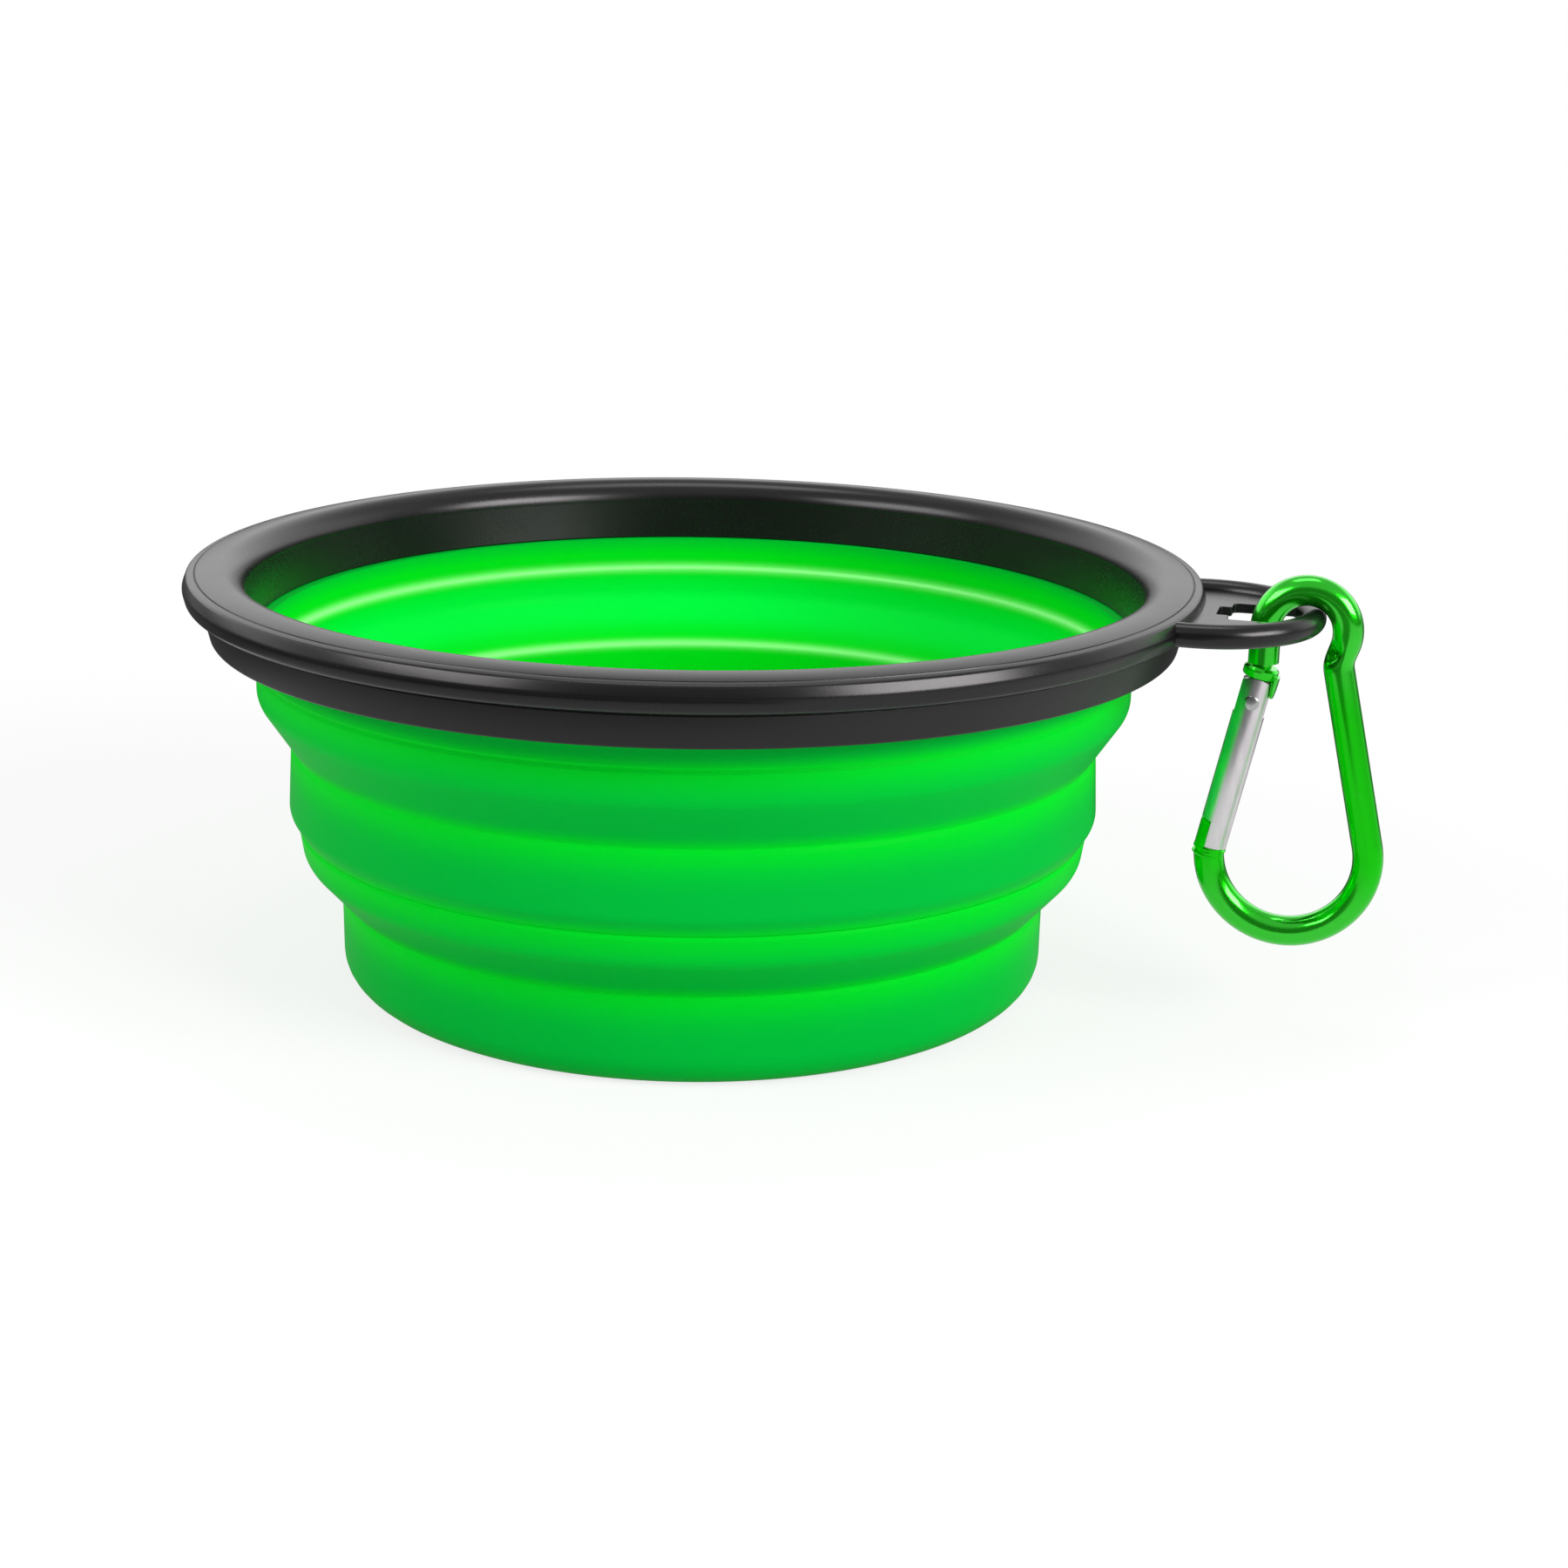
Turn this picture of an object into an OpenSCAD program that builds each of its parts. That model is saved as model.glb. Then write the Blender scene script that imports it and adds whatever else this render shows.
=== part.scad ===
// Collapsible bowl of moulded silicone in a two-piece rim, with a tab and a snap hook.
// Millimetres. Origin at the centre of the base's underside, +Z up, +X towards the tab.
// The silicone is one moulding on the real bowl. It is cut here at its creases, because the
// tiers slide into each other as the two folds between them turn inside out.

/* [Wall] */
// Outer diameter of the base cup
base_d = 92; // [88:0.5:95]
// Height of the base cup, up to the lowest crease
base_h = 11.9; // [10:0.1:15]
// Radius of the rounded corner under the base cup
base_corner = 4; // [2.5:0.1:5]
// Outer diameter of the middle tier at its top crease
middle_d = 104; // [102:0.5:106]
// Outer diameter of the upper fold, which is the widest part of the wall
upper_d = 112.4; // [110.5:0.1:114]
// Thickness of the wall
wall_t = 1.6; // [1.2:0.1:2]
// Thickness of the floor
floor_t = 2; // [1.5:0.1:3]
// Height of the sloping ledge of the lower fold
lower_ledge_h = 5.5; // [4.5:0.1:7]
// Height of the upright band of the lower fold
lower_band_h = 3.7; // [3:0.1:5]
// Height of the small step under the middle tier
step_h = 2.2; // [1.5:0.1:3]
// How far that step draws the wall in
step_in = 1.2; // [0.8:0.1:1.6]
// Height of the upright band of the middle tier
middle_band_h = 8.6; // [7:0.1:11]
// Height of the sloping ledge of the upper fold
upper_ledge_h = 6.5; // [5:0.1:8]
// Height of the upright band of the upper fold
upper_band_h = 4; // [3:0.1:5.5]
// Height of the collar that flares out to the rim
collar_h = 4.3; // [3.5:0.1:6]

/* [Rim] */
// How far the rim reaches out beyond the wall
rim_w = 8.8; // [8:0.1:12]
// Height of the rim above the inner joint with the wall
rim_h = 8.1; // [7.5:0.1:10]
// Height of the outer band of the rim, from its lower edge to the crease on top
band_h = 4; // [3.2:0.1:4.6]
// How far the crown stands above the crease at the outer edge
crown_rise = 0.3; // [0.1:0.05:0.6]
// Distance of that crease from the outer edge
crease_in = 1.7; // [1.3:0.1:2]
// Radius of the rounded roll on the inner edge
roll_r = 3.1; // [2.6:0.1:3.6]
// Thickness of the inner lip
lip_t = 1.3; // [1:0.1:1.6]
// How far the inner lip leans out on its way up to the roll
lip_lean = 1.1; // [0.8:0.05:1.4]
// How far the clamp ring's lower edge stands out from the wall
skirt_w = 5.5; // [5.1:0.1:5.9]
// How much further out the clamp ring reaches where it meets the rim
skirt_flare = 1; // [0.5:0.05:1.2]
// How far the clamp ring reaches below the inner lip
skirt_drop = 0.45; // [0.2:0.05:0.8]

/* [Tab] */
// Radius of the tab's rounded edge, in plan
tab_r = 13.4; // [12:0.1:15]
// Thickness of the tab's rounded edge
tab_bead_d = 3; // [2.6:0.1:3.2]
// Thickness of the plate inside that edge
tab_plate_t = 1.2; // [1:0.1:1.6]
// Width of the slot, along the rim
slot_w = 9.4; // [8:0.1:11]
// Distance of the slot's wide part from the rim's edge
slot_in = 3.2; // [2.8:0.1:4]
// Width of the notch at the slot's inner end
slot_notch_w = 4.6; // [4.4:0.1:6]
// Length of that notch
slot_notch_l = 1.5; // [1:0.1:1.8]

/* [Snap hook] */
// Diameter of the bar
bar_d = 3.8; // [3.4:0.1:4]
// Radius of the small eye at the top, at the bar's centre
eye_r = 5; // [4.8:0.05:5.3]
// Length of the upright stretch of bar under the eye, on the gate's side
drop_l = 4.5; // [4.2:0.1:5]
// Radius of the wide bend at the bottom, at the bar's centre
bend_r = 9.85; // [9:0.05:11]
// Length from the eye to the wide bend, along the bar on the gate's side
side_l = 29.55; // [28.5:0.05:32.5]
// Lean of the gate's side from upright
side_lean = 12; // [11:0.5:13]
// Turn of the eye past its widest point, into the pinched neck
neck_turn = 20; // [16:1:24]
// Length of the straight neck under the eye
neck_l = 0.9; // [0.6:0.1:1.6]
// Depth of the dent pinched into the neck
pinch_depth = 0.6; // [0.3:0.1:0.9]

/* [Gate] */
// Diameter of the gate
gate_d = 4; // [3.8:0.1:4.2]
// Distance of the gate's pivot from the eye, along the bar
pivot_drop = 9.3; // [9:0.1:10.3]
// Thickness of the tongue that the gate's fork straddles
tongue_t = 1.3; // [1.1:0.1:1.5]
// Diameter of the rivet
rivet_d = 1.2; // [1:0.1:1.4]
// Length of the lip that holds the gate's free end
nose_lip_l = 3.4; // [2.8:0.1:4]
// Thickness of that lip
nose_lip_t = 1.3; // [1:0.1:1.5]
// Turns of the gate's spring
spring_turns = 7; // [5:1:9]

/* [Hidden] */
$fn = 96;

// One overrun for every cut, and the gaps between neighbours
cut = 1;
fit_gap = 0.05;
seam_gap = 0.1;
lap = 0.05;
lap_step = 0.01;

// Radii of the wall's outer face at its creases and shoulders
base_r = base_d / 2;
middle_r = middle_d / 2;
shoulder_out = 0.5;
shoulder_r = middle_r + shoulder_out;
step_r = shoulder_r - step_in;
lower_r = step_r - shoulder_out;
upper_r = upper_d / 2;
base_draft = 0.1;

// Heights of the creases and shoulders
base_z = base_h;
lower_shoulder_z = base_z + lower_ledge_h;
lower_z = lower_shoulder_z + lower_band_h;
middle_shoulder_z = lower_z + step_h;
middle_z = middle_shoulder_z + middle_band_h;
upper_shoulder_z = middle_z + upper_ledge_h;
upper_z = upper_shoulder_z + upper_band_h;
joint_z = upper_z + collar_h;
crown_z = joint_z + rim_h;
shoulder_round = 3;
step_round = 2;

// Rim: the inner lip leans out to the roll, and a groove behind it holds the wall's bead
rim_r = upper_r + rim_w;
lip_back = 0.1;
lip_r = upper_r - lip_back;
groove_lean = 0.55 * lip_lean;
groove_r = lip_r + lip_t;
groove_share = 0.53;
groove_z = joint_z + rim_h * groove_share;
crease_z = crown_z - crown_rise;
band_z = crease_z - band_h;
band_low_round = 1.5;
band_dip = 0.1;
crease_w = 0.3;
band_top_round = crease_in - crease_w;
crease_depth = 0.25;
skirt_r = upper_r + skirt_w;
skirt_z = joint_z - skirt_drop;
skirt_round = 0.35;
clamp_step = 0.5;
clamp_r = skirt_r - clamp_step;
clamp_t = 1.3;
clamp_foot_t = 1.1;
bead_r = clamp_r - clamp_t - fit_gap;
neck_t = 0.9;
neck_r = groove_r + fit_gap + neck_t;
flare_z = joint_z - wall_t - fit_gap;

// Tab: a rounded edge on an arc round a point on the rim's edge, with a plate inside it
tab_x = rim_r;
bead_x = tab_x + tab_r;
bead_z = band_z + band_h / 2;
tab_plate_rise = 0.4;
tab_plate_z = bead_z + tab_plate_rise;
tab_root = 2.4;
slot_round = 0.8;
slot_x0 = rim_r + slot_in;
slot_x1 = bead_x - tab_bead_d / 4;

// Snap hook: it hangs in the plane across the tab's edge, and touches it above and outside
bar_r = bar_d / 2;
hang_angle = 60;
eye_play = eye_r - bar_r - tab_bead_d / 2 - fit_gap;
eye_x = bead_x - eye_play * cos(hang_angle);
eye_z = bead_z - eye_play * sin(hang_angle);
along = [sin(side_lean), cos(side_lean)];
across = [cos(side_lean), -sin(side_lean)];
eye_left = [eye_x - eye_r, eye_z];
foot = eye_left - [0, drop_l];
function on_side(s, x = 0) = foot - (s - drop_l) * along + x * across;
bend_c = on_side(side_l) + bend_r * [1, 0];
neck_top = [eye_x + eye_r * cos(neck_turn), eye_z - eye_r * sin(neck_turn)];
neck_low = neck_top + neck_l * [-sin(neck_turn), -cos(neck_turn)];
kink_r = bar_d;
kink_c = neck_low + kink_r * [cos(neck_turn), -sin(neck_turn)];
kink_run = kink_c - bend_c;
leg_angle = atan2(kink_run[1], kink_run[0]) - acos((bend_r + kink_r) / norm(kink_run));
leg_top = kink_c - kink_r * [cos(leg_angle), sin(leg_angle)];
leg_low = bend_c + bend_r * [cos(leg_angle), sin(leg_angle)];

// Both ends of the bar, by their distance along the gate's side from the eye's middle height
gate_r = gate_d / 2;
head_r = gate_r + 0.2;
head_t = 1.3;
neck_groove_t = 0.5;
neck_groove_depth = 0.45;
gate_top_r = 3.05;
head_low = pivot_drop - gate_top_r - fit_gap * 2;
head_top = head_low - head_t;
tongue_w = 2.4;
tongue_r = tongue_w / 2;
tongue_end = pivot_drop + tongue_r;
claw_t = 0.4;
claw_over = 0.9;
claw_end = pivot_drop - claw_over;
claw_x = gate_r * 0.8;
nose_s = side_l - 0.6;
nose_head_t = 1.3;
gate_end = nose_s - fit_gap * 2;
fork_gap = 0.1;
fork_end = tongue_end + 0.6;
spring_bore_r = 1.2;
spring_bore_l = 8.5;
spring_wire = 0.4;
spring_r = 0.85;
plunger_r = 1.1;
plunger_l = 1.6;
plunger_s = tongue_end + fit_gap;
rivet_head_r = 0.95;
rivet_head_t = 0.3;

silicone = [0.02, 0.72, 0.2];
black = [0.12, 0.12, 0.13];
green_metal = [0.05, 0.6, 0.05];
bare_metal = [0.8, 0.8, 0.82];

// Points of an arc of radius r that rounds the corner b between a and c
function round_corner(a, b, c, r, steps = 6) =
    let (
        u = (a - b) / norm(a - b),
        v = (c - b) / norm(c - b),
        half = acos(u * v) / 2,
        centre = b + (u + v) / norm(u + v) * r / sin(half),
        first = b + u * r / tan(half) - centre,
        last = b + v * r / tan(half) - centre,
        start = atan2(first[1], first[0]),
        turn = atan2(first[0] * last[1] - first[1] * last[0], first * last)
    )
    [for (i = [0 : steps]) centre + r * [cos(start + turn * i / steps), sin(start + turn * i / steps)]];

// Turns an outline in radius and height into a ring round the Z axis
module ring(points) {
    rotate_extrude($fn = 180)
        polygon(points);
}

// One band of the wall: the outer face from top to bottom, and the inner face a wall inside it
module wall_band(outer) {
    inner = [for (i = [len(outer) - 1 : -1 : 0]) outer[i] - [wall_t, 0]];
    ring(concat(outer, inner));
}

module rim_ring() {
    crown = [lip_r + lip_lean + roll_r, crown_z];
    crease = [rim_r - crease_in, crease_z];
    edge = crease + [crease_w, -crease_w / 8];
    shoulder = [rim_r, crease_z - band_dip];
    band_low = [rim_r, band_z];
    underside = [clamp_r + fit_gap, band_z];
    outline = concat(
        [[lip_r, joint_z]],
        [for (a = [180 : -15 : 90]) crown + roll_r * [cos(a), sin(a) - 1]],
        [crease, crease + [crease_w / 2, -crease_depth], edge],
        round_corner(edge, shoulder, band_low, band_top_round),
        round_corner(shoulder, band_low, underside, band_low_round),
        [
            underside,
            [clamp_r + fit_gap, groove_z],
            [groove_r + groove_lean, groove_z],
            [groove_r, joint_z]
        ]
    );
    color(black) {
        ring(outline);
        difference() {
            tab_plate();
            slot();
        }
        tab_edge();
    }
}

// The tab's rounded edge: both of its ends run into the rim's outer band
module tab_edge() {
    reach = 180 - acos(tab_r / (2 * tab_x)) + asin(tab_root / tab_r);
    translate([tab_x, 0, bead_z])
        rotate([0, 0, -reach])
            rotate_extrude(angle = 2 * reach)
                translate([tab_r, 0])
                    circle(d = tab_bead_d, $fn = 48);
}

module tab_plate() {
    translate([0, 0, tab_plate_z - tab_plate_t])
        difference() {
            translate([tab_x, 0, 0])
                cylinder(h = tab_plate_t, r = tab_r);
            translate([0, 0, -cut])
                cylinder(h = tab_plate_t + 2 * cut, r = (clamp_r + rim_r) / 2);
        }
}

// A stepped slot: a wide part with rounded corners and a narrow notch towards the rim
module slot() {
    translate([0, 0, tab_plate_z - tab_plate_t - cut])
        linear_extrude(tab_plate_t + 2 * cut) {
            rounded_slot(slot_x0, slot_x1, slot_w, slot_round);
            rounded_slot(slot_x0 - slot_notch_l, slot_x0 + 2 * slot_round, slot_notch_w, slot_round / 2);
        }
}

// A flat outline from x0 to x1, w wide, with corners of radius r
module rounded_slot(x0, x1, w, r) {
    a = [x0, -w / 2];
    b = [x1, -w / 2];
    c = [x1, w / 2];
    d = [x0, w / 2];
    polygon(concat(
        round_corner(d, a, b, r),
        round_corner(a, b, c, r),
        round_corner(b, c, d, r),
        round_corner(c, d, a, r)
    ));
}

module clamp_ring() {
    low_out = [skirt_r, skirt_z];
    high_out = [skirt_r + skirt_flare, band_z - fit_gap];
    low_in = [neck_r + fit_gap, skirt_z];
    outline = concat(
        [low_in],
        round_corner(low_in, low_out, high_out, skirt_round),
        [
            high_out,
            [clamp_r, band_z - fit_gap],
            [clamp_r, groove_z - fit_gap],
            [clamp_r - clamp_t, groove_z - fit_gap],
            [clamp_r - clamp_t, skirt_z + clamp_foot_t],
            [neck_r + fit_gap, skirt_z + clamp_foot_t]
        ]
    );
    color(black)
        ring(outline);
}

// The wall's top: a collar, a neck that flares out under the lip, and a bead held in the groove
module wall_collar() {
    bead_z0 = skirt_z + clamp_foot_t + fit_gap;
    outline = [
        [upper_r - wall_t, upper_z],
        [upper_r, upper_z],
        [upper_r, flare_z],
        [neck_r, skirt_z],
        [neck_r, bead_z0],
        [bead_r, bead_z0],
        [bead_r, groove_z - fit_gap],
        [groove_r + groove_lean + fit_gap, groove_z - fit_gap],
        [groove_r + fit_gap, joint_z - fit_gap],
        [upper_r - wall_t, joint_z - fit_gap]
    ];
    color(silicone)
        ring(outline);
}

module upper_fold() {
    top = [upper_r, upper_z];
    shoulder = [upper_r, upper_shoulder_z];
    low = [middle_r, middle_z + seam_gap];
    color(silicone)
        wall_band(concat([top], round_corner(top, shoulder, low, shoulder_round), [low]));
}

module middle_tier() {
    top = [middle_r, middle_z];
    shoulder = [shoulder_r, middle_shoulder_z];
    low = [step_r, lower_z];
    color(silicone)
        wall_band(concat([top], round_corner(top, shoulder, low, step_round), [low]));
}

module lower_fold() {
    top = [step_r, lower_z];
    shoulder = [lower_r, lower_shoulder_z];
    low = [base_r, base_z + seam_gap];
    color(silicone)
        wall_band(concat([top], round_corner(top, shoulder, low, shoulder_round), [low]));
}

module base_cup() {
    top = [base_r, base_z];
    corner = [base_r - base_draft, 0];
    inner_top = top - [wall_t, 0];
    inner_corner = corner + [-wall_t, floor_t];
    outline = concat(
        [[0, floor_t], [0, 0]],
        round_corner([0, 0], corner, top, base_corner),
        [top, inner_top],
        round_corner(inner_top, inner_corner, [0, floor_t], base_corner - wall_t / 2)
    );
    color(silicone)
        ring(outline);
}

// Stands what is drawn in radius and height upright in the hook's plane
module upright() {
    rotate([90, 0, 0])
        children();
}

// A straight length of the bar between two places in the hook's plane, lapped over its bends
module bar(a, b) {
    d = b - a;
    upright()
        translate([a[0], a[1], 0])
            rotate([0, 0, atan2(d[1], d[0])])
                translate([-lap, 0, 0])
                    rotate([0, 90, 0])
                        cylinder(h = norm(d) + 2 * lap, r = bar_r + lap_step, $fn = 48);
}

// A bend of the bar round the centre c, from the angle a0 through the turn
module bend(c, radius, a0, turn) {
    upright()
        translate([c[0], c[1], 0])
            rotate([0, 0, a0])
                rotate_extrude(angle = turn)
                    translate([radius, 0])
                        circle(r = bar_r, $fn = 48);
}

// Puts its children at a distance s below the eye's middle on the gate's side. There X points into the
// hook's loop, Y along the bar towards the eye, and Z out of the hook's plane.
module at_side(s) {
    p = on_side(s);
    upright()
        translate([p[0], p[1], 0])
            rotate([0, 0, -side_lean])
                children();
}

// A round length of the gate's side, from s0 down to s1
module side_bar(s0, s1, r) {
    at_side(s1)
        rotate([-90, 0, 0])
            cylinder(h = s1 - s0, r = r, $fn = 48);
}

// A pin through the gate's side, across the hook's plane
module cross_pin(s, r, h) {
    at_side(s)
        cylinder(h = h, r = r, center = true, $fn = 48);
}

// A block on the gate's side, from x0 to x1, from s0 down to s1, and t thick
module side_block(x0, x1, s0, s1, t) {
    at_side(s1)
        translate([x0, 0, -t / 2])
            cube([x1 - x0, s1 - s0, t]);
}

module hook_body() {
    color(green_metal) {
        difference() {
            union() {
                bend([eye_x, eye_z], eye_r, -neck_turn, 180 + neck_turn);
                bar(eye_left, eye_left - [0, head_top - neck_groove_t]);
                bar(neck_top, neck_low);
                bend(kink_c, kink_r, 180 - neck_turn, neck_turn + leg_angle);
                bar(leg_top, leg_low);
                bend(bend_c, bend_r, 180, 180 + leg_angle);
            }
            pinch();
        }
        hinge_end();
        nose_end();
    }
}

// The dent on the neck's inner side
module pinch() {
    pinch_r = bar_r * 0.7;
    p = neck_low - (bar_r + pinch_r - pinch_depth) * [1, 0];
    upright()
        translate([p[0], p[1], 0])
            cylinder(h = bar_d + 2 * cut, r = pinch_r, center = true, $fn = 48);
}

// The bar's upper end: a groove, a head, and a tongue and a claw for the gate
module hinge_end() {
    difference() {
        union() {
            side_bar(head_top - neck_groove_t - cut, head_top + cut / 4, bar_r - neck_groove_depth);
            side_bar(head_top, head_low, head_r);
            side_block(-tongue_r, tongue_r, head_low - cut / 2, pivot_drop, tongue_t);
            cross_pin(pivot_drop, tongue_r, tongue_t);
        }
        cross_pin(pivot_drop, rivet_d / 2, tongue_t + 2 * cut);
    }
    difference() {
        side_bar(head_low - cut / 2, claw_end, head_r + claw_t / 2);
        side_bar(head_low, claw_end + cut, gate_r + fit_gap * 2);
        side_block(-gate_d, claw_x, head_low - cut, claw_end + cut, gate_d * 2);
    }
}

// The bar's lower end: a head with a groove, and a lip that the gate closes against
module nose_end() {
    difference() {
        side_bar(nose_s, nose_s + nose_head_t, head_r - neck_groove_depth / 3);
        difference() {
            side_bar(nose_s + nose_head_t * 0.4, nose_s + nose_head_t * 0.75, gate_d);
            side_bar(nose_s, nose_s + nose_head_t, bar_r - neck_groove_depth / 2);
        }
    }
    intersection() {
        side_bar(nose_s - nose_lip_l, nose_s + nose_head_t / 4, gate_r);
        side_block(-gate_d, nose_lip_t - gate_r, nose_s - nose_lip_l - cut, nose_s + cut, gate_d * 2);
    }
}

module hook_gate() {
    color(bare_metal)
        difference() {
            intersection() {
                side_bar(pivot_drop - gate_top_r - cut, gate_end, gate_r);
                union() {
                    cross_pin(pivot_drop, gate_top_r, gate_d + cut);
                    side_block(-gate_d, gate_d, pivot_drop, gate_end + cut, gate_d * 2);
                }
            }
            side_block(-gate_d, gate_d, pivot_drop - gate_top_r - cut, fork_end, tongue_t + 2 * fork_gap);
            cross_pin(pivot_drop, rivet_d / 2, gate_d + 2 * cut);
            side_bar(fork_end - cut, fork_end + spring_bore_l, spring_bore_r);
            side_block(
                -gate_d, nose_lip_t - gate_r + fit_gap * 2,
                gate_end - nose_lip_l, gate_end + cut, gate_d * 2
            );
        }
}

module gate_rivet() {
    color(bare_metal) {
        cross_pin(pivot_drop, rivet_d / 2 - fit_gap, gate_d + 2 * fit_gap);
        for (side = [-1, 1])
            at_side(pivot_drop)
                translate([0, 0, side * (gate_r + fit_gap + rivet_head_t / 2)])
                    cylinder(h = rivet_head_t, r = rivet_head_r, center = true, $fn = 48);
    }
}

// A round-nosed plunger that presses on the tongue's end
module gate_plunger() {
    color(bare_metal)
        side_bar(plunger_s, plunger_s + plunger_l, plunger_r);
}

// A coil in the gate's bore, swept as one tube with flattened ends left out
module gate_spring() {
    s0 = plunger_s + plunger_l + spring_wire / 2 + fit_gap;
    s1 = fork_end + spring_bore_l - spring_wire / 2 - fit_gap;
    steps = 8;
    sides = 6;
    count = spring_turns * steps;
    rise = (s1 - s0) / count;
    function centre(i) = [spring_r * cos(360 * i / steps), spring_r * sin(360 * i / steps), i * rise];
    function point(i, k) =
        let (a = 360 * i / steps, b = 360 * k / sides, w = spring_wire / 2)
        centre(i) + w * [cos(b) * cos(a), cos(b) * sin(a), sin(b)];
    points = [for (i = [0 : count]) for (k = [0 : sides - 1]) point(i, k)];
    walls = [
        for (i = [0 : count - 1]) for (k = [0 : sides - 1])
            let (n = (k + 1) % sides, p = i * sides, q = p + sides)
            each [[p + k, q + k, q + n], [p + k, q + n, p + n]]
    ];
    first = [for (k = [1 : sides - 2]) [0, k, k + 1]];
    base = count * sides;
    last = [for (k = [1 : sides - 2]) [base, base + k + 1, base + k]];
    color(bare_metal)
        at_side(s1)
            rotate([-90, 0, 0])
                polyhedron(points, concat(walls, first, last));
}

rim_ring();
clamp_ring();
wall_collar();
upper_fold();
middle_tier();
lower_fold();
base_cup();
hook_body();
hook_gate();
gate_rivet();
gate_plunger();
gate_spring();
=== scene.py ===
"""Looks of a collapsible bowl: a black two-piece rim with a tab, a green folding wall, and a snap hook.

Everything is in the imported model's own frame: the origin is the centre of the base's underside,
+Z is up and +X points to the tab. Outlines are worked out in millimetres and built in metres.
"""

import math

import bmesh
import bpy
import numpy as np
from bpy.props import FloatProperty, FloatVectorProperty, PointerProperty
from mathutils import Matrix, Vector


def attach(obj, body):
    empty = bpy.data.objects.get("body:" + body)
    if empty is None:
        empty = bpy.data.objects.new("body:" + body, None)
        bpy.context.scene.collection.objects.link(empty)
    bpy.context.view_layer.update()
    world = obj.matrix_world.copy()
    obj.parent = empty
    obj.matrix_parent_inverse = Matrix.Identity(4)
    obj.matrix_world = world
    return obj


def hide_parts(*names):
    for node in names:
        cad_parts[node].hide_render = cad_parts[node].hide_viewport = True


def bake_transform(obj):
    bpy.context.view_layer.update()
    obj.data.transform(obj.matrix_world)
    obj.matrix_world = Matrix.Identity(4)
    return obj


bl_info = {
    "name": "Collapsible bowl",
    "version": (1, 0, 0),
    "blender": (4, 5, 0),
    "location": "View3D > Sidebar > Bowl",
    "description": "Dresses the packed bowl with its rim, folding wall and snap hook",
    "category": "Object",
}

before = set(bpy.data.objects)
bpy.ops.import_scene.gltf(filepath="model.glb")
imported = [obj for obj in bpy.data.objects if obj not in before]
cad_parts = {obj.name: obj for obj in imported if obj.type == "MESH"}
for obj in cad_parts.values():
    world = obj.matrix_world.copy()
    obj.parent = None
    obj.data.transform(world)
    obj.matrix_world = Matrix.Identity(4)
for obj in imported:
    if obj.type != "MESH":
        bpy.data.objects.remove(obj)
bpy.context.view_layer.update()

MM = 0.001
RIM_STEPS = 288
BAR_STEPS = 48
TAB_STEPS = 32
ON_AXIS = 1e-6

# Details in millimetres that the sizes below leave alone.
GAP = 0.05  # play between fitted pieces
CREASE = 0.16  # depth of the creases in the wall
FOLD_RING = 0.3  # longest stretch between two rings of the wall
SHOULDER_OUT = 0.5  # how far the middle tier's shoulder stands out from its crease
STEP_IN = 1.2  # depth of the step under the middle tier
LIP_LEAN = 1.1  # how far the rim's inner face leans outward
LIP_THICK = 1.3  # the rim's lip, and the clamp ring's upright wall
HEAD_HIGH = 1.3  # height of the heads at the gate's two ends
HEAD_GAP = 3.15  # from the gate's pivot up to the head over it
TONGUE_HALF = 0.65  # half the tongue's thickness
TONGUE_RADIUS = 1.2  # the tongue's round end, and the bore behind it
NOSE_LIP = 1.3  # thickness of the nose's lip, which the gate is cut away for
RIVET_DOME = 0.3  # height of the rivet's heads

FLOOR_RADIUS = 14.0  # in metres
CAMERA_TURN = 15.5  # in degrees, from straight in front of the bowl to the tab's side


# Sizes and colours


def length(name, default, description):
    return FloatProperty(name=name, default=default * MM, unit="LENGTH", precision=5, description=description)


def colour(name, default, description):
    return FloatVectorProperty(
        name=name, default=default, subtype="COLOR", min=0, max=1, description=description
    )


def share(name, default, description):
    return FloatProperty(name=name, default=default, min=0, max=1, subtype="FACTOR", description=description)


class WallSizes(bpy.types.PropertyGroup):
    base_radius: length("Base radius", 46, "Outer radius of the base cup")
    middle_radius: length("Middle radius", 52, "Outer radius at the middle tier's crease")
    upper_radius: length("Upper radius", 56.2, "Outer radius of the upper fold and the collar")
    thickness: length("Thickness", 1.6, "Thickness of the wall")
    floor: length("Floor", 2, "Thickness of the floor")
    base_crease: length("Base crease", 11.9, "Height of the base cup's crease")
    lower_shoulder: length("Lower shoulder", 17.4, "Height of the lower fold's shoulder")
    lower_crease: length("Lower crease", 21.1, "Height of the crease under the middle tier")
    middle_shoulder: length("Middle shoulder", 23.3, "Height of the step under the middle tier")
    middle_crease: length("Middle crease", 31.9, "Height of the middle tier's upper crease")
    upper_shoulder: length("Upper shoulder", 38.4, "Height of the upper fold's shoulder")
    upper_crease: length("Upper crease", 42.4, "Height of the crease under the collar")
    joint: length("Joint", 46.7, "Height of the inner joint between the wall and the rim")


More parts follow.
